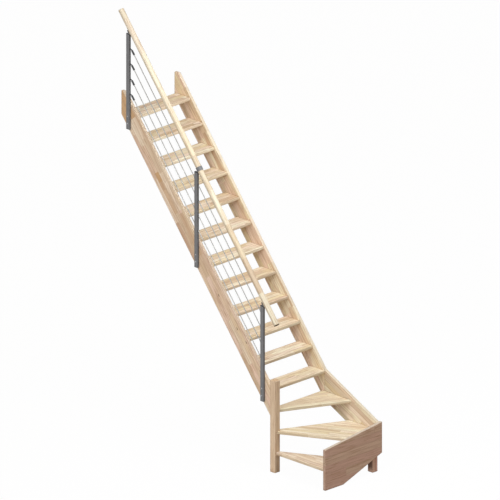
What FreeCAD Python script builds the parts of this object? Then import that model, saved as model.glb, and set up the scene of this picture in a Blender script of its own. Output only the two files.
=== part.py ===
"""Steep closed-string wooden stair with a quarter turn of winders at its foot.

Millimetres. The origin is the centre of the newel's foot on the floor, +X runs across the flight
from the balustrade to the wall, +Y up the flight and +Z up. You step on along +X, turn left round
the newel on the winders and climb along +Y. Tread ends are let into the boards and the newel.
"""
import FreeCAD
import Part
import Sketcher

import math
import os

WINDERS = 3
STRAIGHT_TREADS = 12
RODS = 4

SIZES = [
    ("rise", 187.5, "height of one step"),
    ("going", 148.0, "run of one straight step, nosing to nosing"),
    ("tread_depth", 173.0, "straight tread, front to back"),
    ("tread_thickness", 26.0, "all treads"),
    ("nosing_radius", 4.0, "rounding of a tread's front edges"),
    ("housing_depth", 12.0, "tread ends let into boards and newel"),
    ("clear_width", 615.5, "between the stringers' inner faces"),
    ("board_thickness", 27.0, "stringers, wall board and front board"),
    ("stringer_width", 170.0, "flight stringer, square across"),
    ("stringer_margin", 1.3, "stringer edge above the nosing line, square to it"),
    ("stringer_tail", 19.0, "stringer past the back of the top tread"),
    ("newel_size", 60.0, "square section of the newel"),
    ("newel_height", 835.0, "newel, floor to top"),
    ("leg_size", 60.0, "square section of the corner leg"),
    ("edge_radius", 3.0, "eased edges of newel and leg"),
    ("newel_top_radius", 2.0, "eased rim of the newel's top"),
    ("board_edge_radius", 2.0, "eased long edges of the boards"),
    ("nosing_advance", 4.0, "lowest straight nosing let into the newel's back face"),
    ("winder_clear", 583.0, "newel's front face to the front board's inner face"),
    ("winder_overlap", 19.0, "a winder runs on under the next winder's nosing"),
    ("first_nosing_inset", 15.0, "bottom nosing from the newel's outer face"),
    ("second_nosing_inset", 29.0, "second nosing on the newel, from its outer face"),
    ("second_nosing_turn", 28.1, "degrees the second nosing turns from the first"),
    ("third_nosing_inset", 17.0, "third nosing on the newel, from its front face"),
    ("third_nosing_turn", 24.9, "degrees the third nosing is short of the straight ones"),
    ("wall_board_end", 441.0, "top of the wall board at the front board"),
    ("corner_bottom", 169.0, "lower edge of both boards at the outer corner"),
    ("front_board_low", 369.0, "top of the front board at the entry"),
    ("front_board_high", 451.0, "top of the front board at the outer corner"),
    ("front_board_foot", 220.0, "length of the front board that stands on the floor"),
    ("post_width", 40.0, "balustrade tube, along the flight"),
    ("post_depth", 20.0, "balustrade tube, out from the stringer"),
    ("post_wall", 2.0, "balustrade tube's wall"),
    ("post_corner_radius", 3.0, "rounded corners of the balustrade tube"),
    ("post_length", 868.0, "balustrade tube"),
    ("lower_post_run", 127.0, "lower tube's centre from the newel's centre"),
    ("middle_post_run", 926.0, "middle tube's centre from the newel's centre"),
    ("upper_post_run", 1751.0, "upper tube's centre from the newel's centre"),
    ("rail_diameter", 50.0, "round handrail"),
    ("rail_height", 692.4, "rail's axis plumb above the nosing line"),
    ("rail_gap", 86.0, "rail's axis plumb above the top of a tube"),
    ("rail_foot_run", 45.0, "lower end of the rail before the newel's centre"),
    ("rail_head_run", 1843.0, "upper end of the rail past the newel's centre"),
    ("rail_edge_radius", 4.0, "rounding of the rail's two free ends"),
    ("cap_height", 6.0, "cap on the top of a tube"),
    ("neck_diameter", 16.0, "round neck from the cap to the rail"),
    ("cradle_length", 60.0, "cradle under the rail, along it"),
    ("cradle_width", 38.0, "cradle under the rail, across it"),
    ("cradle_thickness", 5.0, "cradle under the middle of the rail"),
    ("cradle_lip", 3.0, "cradle's rise up the sides of the rail"),
    ("cradle_corner_radius", 4.0, "rounded corners of the cradle"),
    ("band_length", 37.0, "band round the joint of the two rail lengths"),
    ("band_lead", 9.0, "lower end of the band from the centre line of its neck, along the rail"),
    ("band_thickness", 3.0, "band round the joint of the two rail lengths"),
    ("seat_clearance", 0.2, "rail in its cradles and band, rods in their sleeves"),
    ("rod_diameter", 8.0, "balustrade rods"),
    ("top_rod_drop", 171.0, "top rod plumb below the rail's axis"),
    ("rod_spacing", 138.0, "rods, plumb from one to the next"),
    ("rod_hole_diameter", 12.0, "holes for the rods' bushings and sockets in the tubes"),
    ("bushing_reach", 5.0, "centre line of a bushing or socket out past its tube's face"),
    ("socket_depth", 30.0, "centre line of a socket in from the lower tube's upper face"),
    ("holder_flange_diameter", 16.0, "foot of a rod holder"),
    ("holder_flange_thickness", 3.0, "foot of a rod holder"),
    ("holder_stem_diameter", 10.0, "stem and elbow of a rod holder"),
    ("holder_reach", 9.0, "tube's face to the start of the elbow"),
    ("holder_bend", 16.0, "radius of the elbow, at its centre line"),
    ("sleeve_diameter", 17.0, "sleeve that grips a rod's end"),
    ("sleeve_length", 45.0, "sleeve that grips a rod's end"),
    ("sleeve_bore_depth", 36.0, "how far a rod runs into its sleeve"),
]

document = FreeCAD.newDocument("winder_stair")
sheet = document.addObject("Spreadsheet::Sheet", "Sizes")
for row, (alias, value, meaning) in enumerate(SIZES, start=1):
    sheet.set("A%d" % row, meaning)
    sheet.set("B%d" % row, str(value))
    sheet.setAlias("B%d" % row, alias)
document.recompute()

finished = []

# Expressions that several pieces share
SLOPE = "(Sizes.rise / Sizes.going)"
PITCH = "atan(Sizes.rise / Sizes.going)"
PITCH_COS = "cos(%s)" % PITCH
PITCH_SIN = "sin(%s)" % PITCH
NEWEL_HALF = "(Sizes.newel_size / 2)"
LEFT_INNER = "(Sizes.board_thickness / 2)"
WALL_INNER = "(Sizes.board_thickness / 2 + Sizes.clear_width)"
WALL_OUTER = "(Sizes.board_thickness * 3 / 2 + Sizes.clear_width)"
FRONT_INNER = "(-Sizes.newel_size / 2 - Sizes.winder_clear)"
FIRST_STRAIGHT = "(Sizes.newel_size / 2 - Sizes.nosing_advance)"
STRINGER_END = "(%s + %d * Sizes.going + Sizes.tread_depth + Sizes.stringer_tail)" % (
    FIRST_STRAIGHT, STRAIGHT_TREADS - 1)
UPPER_FLOOR = "(%d * Sizes.rise)" % (WINDERS + STRAIGHT_TREADS + 1)
POST_PLANE = "(-Sizes.board_thickness / 2 - Sizes.post_depth / 2)"
SLEEVE_END = "(Sizes.sleeve_length - Sizes.sleeve_bore_depth)"
RAIL_BORE = "(Sizes.rail_diameter / 2 + Sizes.seat_clearance)"
ROD_BORE = "(Sizes.rod_diameter / 2 + Sizes.seat_clearance)"


def nosing_line(run):
    """Height of the line through the straight nosings, above a place along the flight."""
    return "(%d * Sizes.rise + (%s - %s) * %s)" % (WINDERS + 1, run, FIRST_STRAIGHT, SLOPE)


def stringer_top(run):
    return "(%s + Sizes.stringer_margin / %s)" % (nosing_line(run), PITCH_COS)


def stringer_bottom(run):
    return "(%s + (Sizes.stringer_margin - Sizes.stringer_width) / %s)" % (nosing_line(run), PITCH_COS)


def second_nosing(y):
    """X of the second nosing at a place in front of the newel."""
    return "(-%s + Sizes.second_nosing_inset + (-%s - %s) * tan(Sizes.second_nosing_turn * 1 deg))" % (
        NEWEL_HALF, NEWEL_HALF, y)


def third_nosing(x):
    """Y of the third nosing at a place beside the newel."""
    return "(-%s + Sizes.third_nosing_inset - (%s - %s) * tan(Sizes.third_nosing_turn * 1 deg))" % (
        NEWEL_HALF, x, NEWEL_HALF)


def bind(item, **expressions):
    for name, expression in expressions.items():
        item.setExpression(name, expression)
    return item


def place(item, x="0", y="0", z="0"):
    item.setExpression("Placement.Base.x", x)
    item.setExpression("Placement.Base.y", y)
    item.setExpression("Placement.Base.z", z)
    return item


def tilt(item, angle):
    """Turn a piece about the crosswise axis, its upper end towards the head of the flight."""
    item.Placement.Rotation = FreeCAD.Rotation(FreeCAD.Vector(-1, 0, 0), 45)
    item.setExpression("Placement.Rotation.Angle", angle)
    return item


def finish(item, label):
    item.Label = label
    finished.append(item)
    return item


def new_body(name):
    return document.addObject("PartDesign::Body", name)


def outline(body, role, *loops):
    """Sketch on one of the body's planes: closed loops, each corner driven by two expressions."""
    sketch = body.newObject("Sketcher::SketchObject", body.Name + "_outline")
    plane = next(item for item in body.Origin.OriginFeatures if item.Role == role)
    sketch.AttachmentSupport = [(plane, "")]
    sketch.MapMode = "FlatFace"
    for corners in loops:
        first = sketch.GeometryCount
        count = len(corners)
        rough = [FreeCAD.Vector(math.cos(turn), math.sin(turn), 0)
                 for turn in [(place_on_ring + 0.3) * 2 * math.pi / count for place_on_ring in range(count)]]
        for index in range(count):
            sketch.addGeometry(Part.LineSegment(rough[index], rough[(index + 1) % count]), False)
        for index in range(count):
            following = first + (index + 1) % count
            sketch.addConstraint(Sketcher.Constraint("Coincident", first + index, 2, following, 1))
        for index, (across, along) in enumerate(corners):
            for kind, start, expression in (("DistanceX", rough[index].x, across),
                                            ("DistanceY", rough[index].y, along)):
                number = sketch.addConstraint(Sketcher.Constraint(kind, -1, 1, first + index, 1, start))
                sketch.setExpression("Constraints[%d]" % number, expression)
    return sketch


def pad(body, sketch, length):
    feature = body.newObject("PartDesign::Pad", body.Name + "_pad")
    feature.Profile = sketch
    bind(feature, Length=length)
    document.recompute()
    return feature


def ease(body, feature, edges, radius):
    """Round the named edges of the body's last feature."""
    fillet = body.newObject("PartDesign::Fillet", body.Name + "_eased")
    fillet.Base = (feature, edges)
    bind(fillet, Radius=radius)
    document.recompute()


def edges_of(shape, wanted):
    return ["Edge%d" % number for number, edge in enumerate(shape.Edges, start=1) if wanted(edge)]


def is_upright(edge):
    return abs(edge.tangentAt(edge.FirstParameter).z) > 0.999


def front_edges(shape, direction):
    """The level edges of the face that looks most towards a direction."""
    face = max(shape.Faces, key=lambda item: item.normalAt(0, 0).dot(direction))
    return edges_of(shape, lambda edge: not is_upright(edge) and any(edge.isSame(own) for own in face.Edges))


def board(name, role, corners, thickness):
    """Flat board cut to an outline."""
    body = new_body(name)
    pad(body, outline(body, role, corners), thickness)
    return body


def frame_board(name, role, corners):
    """Upright board of the frame. Its long edges are eased, its plumb ends and its foot stay square."""
    body = board(name, role, corners, "Sizes.board_thickness")
    feature = body.Tip
    across = FreeCAD.Vector(1, 0, 0) if role == "YZ_Plane" else FreeCAD.Vector(0, 1, 0)
    floor = 0.001

    def is_long(edge):
        along = edge.tangentAt(edge.FirstParameter)
        is_across = abs(along.dot(across)) > 0.999
        return not is_upright(edge) and not is_across and edge.BoundBox.ZMax > floor

    ease(body, feature, edges_of(feature.Shape, is_long), "Sizes.board_edge_radius")
    return body


def tread(label, corners, front, step):
    """Tread cut to its plan, with a rounded nosing, its top at a whole number of rises."""
    body = board(label, "XY_Plane", corners, "Sizes.tread_thickness")
    feature = body.Tip
    ease(body, feature, front_edges(feature.Shape, front), "Sizes.nosing_radius")
    place(body, z="%d * Sizes.rise - Sizes.tread_thickness" % step)
    return finish(body, label)


def cylinder(name, radius, height):
    return bind(document.addObject("Part::Cylinder", name), Radius=radius, Height=height)


def cut(name, base, tools):
    """A piece with the shapes of other pieces taken out of it."""
    group = document.addObject("Part::Compound", name + "_housings")
    group.Links = tools
    result = document.addObject("Part::Cut", name)
    result.Base = base
    result.Tool = group
    return result


def fuse(name, pieces):
    result = document.addObject("Part::MultiFuse", name)
    result.Shapes = pieces
    return result


# Treads
def winder_treads():
    """Three tapered treads that turn round the newel, each let into what it meets."""
    overlap_second = "Sizes.winder_overlap / cos(Sizes.second_nosing_turn * 1 deg)"
    overlap_third = "Sizes.winder_overlap / cos(Sizes.third_nosing_turn * 1 deg)"
    newel_front = "(-%s + Sizes.housing_depth)" % NEWEL_HALF
    newel_inner = "(%s - Sizes.housing_depth)" % NEWEL_HALF
    front_end = "(%s - Sizes.housing_depth)" % FRONT_INNER
    wall_end = "(%s + Sizes.housing_depth)" % WALL_INNER
    left_end = "(%s - Sizes.housing_depth)" % LEFT_INNER
    entry = "(-%s + Sizes.first_nosing_inset)" % NEWEL_HALF
    back = "(%s + Sizes.tread_depth - Sizes.going)" % FIRST_STRAIGHT

    lowest = tread("winder_tread_1", [
        (entry, newel_front),
        (entry, front_end),
        ("%s + %s" % (second_nosing(front_end), overlap_second), front_end),
        ("%s + %s" % (second_nosing(newel_front), overlap_second), newel_front),
    ], FreeCAD.Vector(-1, 0, 0), 1)
    corner = tread("winder_tread_2", [
        (second_nosing(newel_front), newel_front),
        (second_nosing(front_end), front_end),
        (wall_end, front_end),
        (wall_end, "%s + %s" % (third_nosing(wall_end), overlap_third)),
        (newel_inner, "%s + %s" % (third_nosing(newel_inner), overlap_third)),
        (newel_inner, newel_front),
    ], FreeCAD.Vector(-1, -0.5, 0), 2)
    upper = tread("winder_tread_3", [
        (newel_inner, third_nosing(newel_inner)),
        (wall_end, third_nosing(wall_end)),
        (wall_end, back),
        (left_end, back),
        (left_end, NEWEL_HALF),
        (newel_inner, NEWEL_HALF),
    ], FreeCAD.Vector(-0.5, -1, 0), 3)
    return [lowest, corner, upper]


def straight_treads():
    treads = []
    left = "(%s - Sizes.housing_depth)" % LEFT_INNER
    right = "(%s + Sizes.housing_depth)" % WALL_INNER
    for index in range(STRAIGHT_TREADS):
        nosing = "(%s + %d * Sizes.going)" % (FIRST_STRAIGHT, index)
        heel = "(%s + Sizes.tread_depth)" % nosing
        treads.append(tread("tread_%02d" % (WINDERS + 1 + index), [
            (left, nosing), (right, nosing), (right, heel), (left, heel),
        ], FreeCAD.Vector(0, -1, 0), WINDERS + 1 + index))
    return treads


# Boards and posts of the frame
def flight_stringer(label, x, treads):
    """Stringer of the straight flight: plumb at both ends, level with the upper floor at its head."""
    level_start = "(%s + (%s - %s) / %s)" % (
        FIRST_STRAIGHT, UPPER_FLOOR, stringer_top(FIRST_STRAIGHT), SLOPE)
    blank = frame_board(label + "_blank", "YZ_Plane", [
        (NEWEL_HALF, stringer_bottom(NEWEL_HALF)),
        (STRINGER_END, stringer_bottom(STRINGER_END)),
        (STRINGER_END, UPPER_FLOOR),
        (level_start, UPPER_FLOOR),
        (NEWEL_HALF, stringer_top(NEWEL_HALF)),
    ])
    place(blank, x=x)
    return finish(cut(label + "_cut", blank, treads), label)


def wall_board(treads):
    """Board on the wall beside the winders, from the flight's stringer down to the front board."""
    blank = frame_board("wall_board_blank", "YZ_Plane", [
        (NEWEL_HALF, stringer_bottom(NEWEL_HALF)),
        (NEWEL_HALF, stringer_top(NEWEL_HALF)),
        (FRONT_INNER, "Sizes.wall_board_end"),
        (FRONT_INNER, "Sizes.corner_bottom"),
    ])
    place(blank, x=WALL_INNER)
    return finish(cut("wall_board_cut", blank, treads), "winder_wall_stringer")


def front_board(treads):
    """Board in front of the winders: stands on the floor at the entry and rises to the corner."""
    entry = "(-%s)" % NEWEL_HALF
    blank = frame_board("front_board_blank", "XZ_Plane", [
        (entry, "0"),
        ("%s + Sizes.front_board_foot" % entry, "0"),
        (WALL_OUTER, "Sizes.corner_bottom"),
        (WALL_OUTER, "Sizes.front_board_high"),
        (entry, "Sizes.front_board_low"),
    ])
    place(blank, y=FRONT_INNER)
    return finish(cut("front_board_cut", blank, treads), "winder_front_stringer")


def rectangle(depth, width):
    """Corners of a rectangle round its own centre."""
    x = "(%s) / 2" % depth
    y = "(%s) / 2" % width
    return [("-" + x, "-" + y), (x, "-" + y), (x, y), ("-" + x, y)]


def block(name, depth, width, height, radius):
    """Upright block on its own centre line, its upright edges eased."""
    body = board(name, "XY_Plane", rectangle(depth, width), height)
    feature = body.Tip
    ease(body, feature, edges_of(feature.Shape, is_upright), radius)
    return body


def newel(treads):
    size = "Sizes.newel_size"
    post = block("newel_blank", size, size, "Sizes.newel_height", "Sizes.edge_radius")
    feature = post.Tip
    top = feature.Shape.BoundBox.ZMax - 0.001
    rim = edges_of(feature.Shape, lambda edge: edge.BoundBox.ZMin > top)
    ease(post, feature, rim, "Sizes.newel_top_radius")
    return finish(cut("newel_cut", post, treads), "newel_post")


def corner_leg():
    """Leg in the outer corner, from the floor to the underside of the corner winder."""
    size = "Sizes.leg_size"
    leg = block("corner_leg", size, size, "2 * Sizes.rise - Sizes.tread_thickness", "Sizes.edge_radius")
    place(leg, x="%s - Sizes.leg_size / 2" % WALL_INNER, y="%s + Sizes.leg_size / 2" % FRONT_INNER)
    return finish(leg, "corner_leg")


# Balustrade
def rod_height(index):
    """Plumb height of a rod above the nosing line."""
    return "(Sizes.rail_height - Sizes.top_rod_drop - %d * Sizes.rod_spacing)" % index


def post_top(run):
    return "(%s + Sizes.rail_height - Sizes.rail_gap)" % nosing_line(run)


def along_pitch(item, run, height, offset="0"):
    """Set a piece along the flight's pitch, starting at a run and a plumb height over the nosings."""
    tilt(item, "90 deg - %s" % PITCH)
    place(item, POST_PLANE, "%s + %s * %s" % (run, offset, PITCH_COS),
          "%s + %s + %s * %s" % (nosing_line(run), height, offset, PITCH_SIN))
    return item


def square_to_rail(item, run, offset):
    """Set a piece square to the rail, starting at an offset from the middle of a tube's top."""
    item.Placement.Rotation = FreeCAD.Rotation(FreeCAD.Vector(1, 0, 0), 45)
    item.setExpression("Placement.Rotation.Angle", PITCH)
    return place(item, POST_PLANE, "%s - %s * %s" % (run, offset, PITCH_SIN),
                 "%s + %s * %s" % (post_top(run), offset, PITCH_COS))


def tube_post(label, run, holes_start):
    """Rectangular steel tube on the stringer's outer face, with rounded corners.

    Where holes for the rods are drilled, they start at a place along the pitch from the tube's middle.
    """
    hollow = rectangle("Sizes.post_depth - 2 * Sizes.post_wall", "Sizes.post_width - 2 * Sizes.post_wall")
    body = new_body(label + "_tube")
    feature = pad(body, outline(body, "XY_Plane", rectangle("Sizes.post_depth", "Sizes.post_width"), hollow),
                  "Sizes.post_length")
    face = feature.Shape.BoundBox.XMax - 0.001
    corners = edges_of(feature.Shape, lambda edge: is_upright(edge) and abs(edge.CenterOfMass.x) > face)
    ease(body, feature, corners, "Sizes.post_corner_radius")
    place(body, POST_PLANE, run, "%s - Sizes.post_length" % post_top(run))
    if holes_start is None:
        return finish(body, label)
    drills = []
    for index in range(RODS):
        drill = cylinder("%s_drill_%d" % (label, index + 1), "Sizes.rod_hole_diameter / 2",
                         "2 * Sizes.post_width - %s" % holes_start)
        drills.append(along_pitch(drill, run, rod_height(index), holes_start))
    return finish(cut(label + "_drilled", body, drills), label)


def rod_bushings(label, run):
    """Sleeves in the middle tube's holes, one round each rod, standing out at both faces."""
    reach = "((Sizes.post_width / 2 + Sizes.bushing_reach) / %s)" % PITCH_COS
    radius = "Sizes.rod_hole_diameter / 2 - Sizes.seat_clearance"
    bushings = []
    for index in range(RODS):
        name = "%s_%d" % (label, index + 1)
        sleeve = cylinder(name + "_sleeve", radius, "2 * " + reach)
        hole = cylinder(name + "_hole", ROD_BORE, "2 * " + reach)
        for part in (sleeve, hole):
            along_pitch(part, run, rod_height(index), "-" + reach)
        bushings.append(cut(name, sleeve, [hole]))
    group = document.addObject("Part::Compound", label + "_set")
    group.Links = bushings
    return finish(group, label)


def rail_seat(run):
    """Place along the flight where the square from a tube's top meets the rail's axis."""
    return "(%s - Sizes.rail_gap * %s * %s)" % (run, PITCH_SIN, PITCH_COS)


def rail_cradle(name, run):
    """Block under the rail with rounded corners. The rail's trough is cut into it afterwards."""
    below_rail = "(%s + Sizes.cradle_thickness)" % RAIL_BORE
    cradle = block(name, "Sizes.cradle_width", "Sizes.cradle_length",
                   "Sizes.cradle_thickness + Sizes.cradle_lip", "Sizes.cradle_corner_radius")
    return square_to_rail(cradle, run, "(Sizes.rail_gap * %s - %s)" % (PITCH_COS, below_rail))


def joint_band(name, run):
    """Band round the joint of the two rail lengths."""
    band = cylinder(name, RAIL_BORE + " + Sizes.band_thickness", "Sizes.band_length")
    return along_pitch(band, rail_seat(run), "Sizes.rail_height", "(-Sizes.band_lead)")


def rail_bracket(label, run, is_joint):
    """Cap on a tube, a neck square to the rail, and a cradle under the rail or a band round its joint."""
    cap = block(label + "_cap", "Sizes.post_depth", "Sizes.post_width", "Sizes.cap_height",
                "Sizes.post_corner_radius")
    place(cap, POST_PLANE, run, post_top(run))
    seat = joint_band(label + "_band", run) if is_joint else rail_cradle(label + "_cradle", run)

    seat_thickness = "Sizes.band_thickness" if is_joint else "Sizes.cradle_thickness"
    neck_start = "(Sizes.neck_diameter / 2 * tan(%s))" % PITCH
    neck_end = "(Sizes.rail_gap * %s - %s - %s / 2)" % (PITCH_COS, RAIL_BORE, seat_thickness)
    neck = cylinder(label + "_neck", "Sizes.neck_diameter / 2", "%s - %s" % (neck_end, neck_start))
    square_to_rail(neck, run, neck_start)

    length = "Sizes.band_length" if is_joint else "Sizes.cradle_length"
    trough = cylinder(label + "_trough", RAIL_BORE, "2 * " + length)
    along_pitch(trough, rail_seat(run), "Sizes.rail_height", "(-%s)" % length)
    whole = fuse(label + "_whole", [cap, neck, seat])
    return finish(cut(label + "_bored", whole, [trough]), label)


def handrail(label, start, end, free_end):
    """One length of round rail, square cut, its free end eased."""
    bar = cylinder(label + "_bar", "Sizes.rail_diameter / 2", "(%s - %s) / %s" % (end, start, PITCH_COS))
    document.recompute()
    free_height = bar.Height.Value if free_end == "upper" else 0.0
    rim = [number for number, edge in enumerate(bar.Shape.Edges, start=1)
           if edge.Closed and abs(edge.CenterOfMass.z - free_height) < 0.001]
    eased = document.addObject("Part::Fillet", label + "_eased")
    eased.Base = bar
    radius = sheet.rail_edge_radius
    eased.Edges = [(number, radius, radius) for number in rim]
    along_pitch(eased, start, "Sizes.rail_height")
    return finish(eased, label)


def rod_holder(label, face_run, index):
    """Flange on the upper tube's face, an elbow that turns to the pitch, and a bored sleeve for a rod."""
    down = FreeCAD.Rotation(FreeCAD.Vector(1, 0, 0), 90)
    flange = cylinder(label + "_flange", "Sizes.holder_flange_diameter / 2", "Sizes.holder_flange_thickness")
    stem = cylinder(label + "_stem", "Sizes.holder_stem_diameter / 2", "Sizes.holder_reach")
    flange.Placement.Rotation = down
    stem.Placement.Rotation = down

    elbow = document.addObject("Part::Torus", label + "_elbow")
    bind(elbow, Radius1="Sizes.holder_bend", Radius2="Sizes.holder_stem_diameter / 2", Angle3=PITCH)
    elbow.Placement.Rotation = FreeCAD.Rotation(FreeCAD.Vector(1, 0, 1), 180)
    place(elbow, y="-Sizes.holder_reach", z="-Sizes.holder_bend")

    sleeve = cylinder(label + "_sleeve", "Sizes.sleeve_diameter / 2", "Sizes.sleeve_length")
    bore = cylinder(label + "_bore", ROD_BORE, "Sizes.sleeve_bore_depth")
    for part, offset in ((sleeve, "0"), (bore, SLEEVE_END)):
        part.Placement.Rotation = FreeCAD.Rotation(FreeCAD.Vector(1, 0, 0), 120)
        part.setExpression("Placement.Rotation.Angle", "90 deg + %s" % PITCH)
        out = "-Sizes.holder_reach - Sizes.holder_bend * %s - %s * %s" % (PITCH_SIN, offset, PITCH_COS)
        down_by = "-Sizes.holder_bend * (1 - %s) - %s * %s" % (PITCH_COS, offset, PITCH_SIN)
        place(part, y=out, z=down_by)

    whole = fuse(label + "_whole", [flange, stem, elbow, sleeve])
    holder = cut(label + "_bored", whole, [bore])
    elbow_corner = "(%s - Sizes.holder_reach - Sizes.holder_bend * tan(%s / 2))" % (face_run, PITCH)
    place(holder, POST_PLANE, face_run, "%s + %s" % (nosing_line(elbow_corner), rod_height(index)))
    return finish(holder, label)


def rod_socket(label, face_run, index):
    """Bored plug in the lower tube's upper face, in line with the rod that ends in it."""
    length = "((Sizes.socket_depth + Sizes.bushing_reach) / %s)" % PITCH_COS
    start = "(%s - Sizes.socket_depth)" % face_run
    plug = cylinder(label + "_plug", "Sizes.rod_hole_diameter / 2 - Sizes.seat_clearance", length)
    bore = cylinder(label + "_bore", ROD_BORE, "%s - %s" % (length, SLEEVE_END))
    along_pitch(plug, start, rod_height(index))
    along_pitch(bore, start, rod_height(index), SLEEVE_END)
    return finish(cut(label + "_bored", plug, [bore]), label)


def balustrade():
    holes_start = {"lower": "0", "middle": "(-2 * Sizes.post_width)", "upper": None}
    for name in ("lower", "middle", "upper"):
        run = "Sizes.%s_post_run" % name
        tube_post(name + "_post", run, holes_start[name])
        rail_bracket(name + "_rail_bracket", run, is_joint=name == "middle")
    rod_bushings("middle_rod_bushings", "Sizes.middle_post_run")
    joint = rail_seat("Sizes.middle_post_run")
    handrail("lower_handrail", "(-Sizes.rail_foot_run)", joint, "lower")
    handrail("upper_handrail", joint, "Sizes.rail_head_run", "upper")

    upper_face = "(Sizes.upper_post_run - Sizes.post_width / 2)"
    lower_face = "(Sizes.lower_post_run + Sizes.post_width / 2)"
    rod_start = "(%s - Sizes.socket_depth + %s * %s)" % (lower_face, SLEEVE_END, PITCH_COS)
    rod_end = "(%s - Sizes.holder_reach - Sizes.holder_bend * %s - %s * %s)" % (
        upper_face, PITCH_SIN, SLEEVE_END, PITCH_COS)
    for index in range(RODS):
        rod_holder("upper_rod_holder_%d" % (index + 1), upper_face, index)
        rod_socket("lower_rod_holder_%d" % (index + 1), lower_face, index)
        rod = cylinder("rod_%d_bar" % (index + 1), "Sizes.rod_diameter / 2",
                       "(%s - %s) / %s" % (rod_end, rod_start, PITCH_COS))
        along_pitch(rod, rod_start, rod_height(index))
        finish(rod, "rod_%d" % (index + 1))


winders = winder_treads()
straights = straight_treads()
flight_stringer("left_stringer", "-Sizes.board_thickness / 2", winders[2:] + straights)
flight_stringer("right_stringer", WALL_INNER, winders[2:] + straights)
wall_board(winders[1:] + straights[:1])
front_board(winders[:2])
newel(winders + straights[:1])
corner_leg()
balustrade()
document.recompute()

# Every object has to be sound before anything is written
for item in document.Objects:
    if "Invalid" in item.State or "Error" in item.State:
        raise RuntimeError("%s failed: %s" % (item.Label, item.State))
for item in finished:
    shape = item.Shape
    if shape.isNull() or not shape.isValid() or not shape.Solids:
        raise RuntimeError("%s has no valid solid" % item.Label)

os.makedirs("parts", exist_ok=True)
for item in finished:
    item.Shape.exportStep("parts/%s.step" % item.Label)
    print("%-24s %2d solid  %10.1f cm3" % (item.Label, len(item.Shape.Solids), item.Shape.Volume / 1000))
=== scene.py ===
"""Looks of a steep winder stair: glued hardwood boards, coated tube posts, steel rods and a round rail.

Metres, in the stair's own frame: the origin is the newel's foot, +X runs across the flight from the
balustrade to the wall, +Y up the flight and +Z up.
"""
import math

import bmesh
import bpy
from mathutils import Matrix, Vector


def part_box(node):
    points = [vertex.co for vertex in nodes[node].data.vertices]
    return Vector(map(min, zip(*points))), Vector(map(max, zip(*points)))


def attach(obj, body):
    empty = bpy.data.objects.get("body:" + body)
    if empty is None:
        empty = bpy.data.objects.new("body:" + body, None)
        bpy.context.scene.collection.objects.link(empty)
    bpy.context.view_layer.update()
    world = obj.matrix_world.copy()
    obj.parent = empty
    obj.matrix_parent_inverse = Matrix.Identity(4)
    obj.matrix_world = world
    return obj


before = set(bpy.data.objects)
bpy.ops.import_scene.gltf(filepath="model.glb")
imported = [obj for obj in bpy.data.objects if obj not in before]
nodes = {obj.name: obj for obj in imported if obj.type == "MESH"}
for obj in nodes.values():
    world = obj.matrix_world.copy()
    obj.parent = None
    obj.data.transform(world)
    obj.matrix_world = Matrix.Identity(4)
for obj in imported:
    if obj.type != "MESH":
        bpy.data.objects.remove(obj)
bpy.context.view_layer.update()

# Names of the stair's pieces
TREADS = ["tread_%02d" % number for number in range(4, 16)]
POSTS = ["lower_post", "middle_post", "upper_post"]
BRACKETS = ["lower_rail_bracket", "middle_rail_bracket", "upper_rail_bracket"]
RODS = ["rod_%d" % number for number in range(1, 5)]
HOLDERS = ["%s_rod_holder_%d" % (end, number) for end in ("upper", "lower") for number in range(1, 5)]
RAILS = ["lower_handrail", "upper_handrail"]

# Directions: the stair's own axes, and the pitch and rise worked out from the imported pieces
ACROSS_FLIGHT = Vector((1, 0, 0))
UP_FLIGHT = Vector((0, 1, 0))
PLUMB = Vector((0, 0, 1))
TOWARDS_CLIMBER = Vector((-1, -1, 0)).normalized()


def pitch_direction():
    """Unit vector up the straight flight, from one nosing to the next."""
    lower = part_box("tread_04")[0]
    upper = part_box("tread_05")[0]
    return (upper - lower).normalized()


PITCH = pitch_direction()
PITCH_SQUARE = ACROSS_FLIGHT.cross(PITCH)
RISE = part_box("tread_05")[1].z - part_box("tread_04")[1].z


def edge_direction(node, facing):
    """Direction of a piece's longest edge on the side that looks one way."""
    flat = math.radians(1.0)
    shape = bmesh.new()
    shape.from_mesh(nodes[node].data)
    shape.normal_update()
    longest = 0.0
    found = None
    for edge in shape.edges:
        if len(edge.link_faces) == 2 and edge.calc_face_angle() < flat:
            continue
        outward = sum((face.normal for face in edge.link_faces), Vector()).normalized()
        reach = edge.calc_length() * outward.dot(facing)
        if reach > longest:
            longest = reach
            found = (edge.verts[1].co - edge.verts[0].co).normalized()
    shape.free()
    return found


# Places of a Mix node's colour sockets, whose names its other kinds of socket share
MIX_INPUTS = (0, 6, 7)
MIX_RESULT = 2


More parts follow.
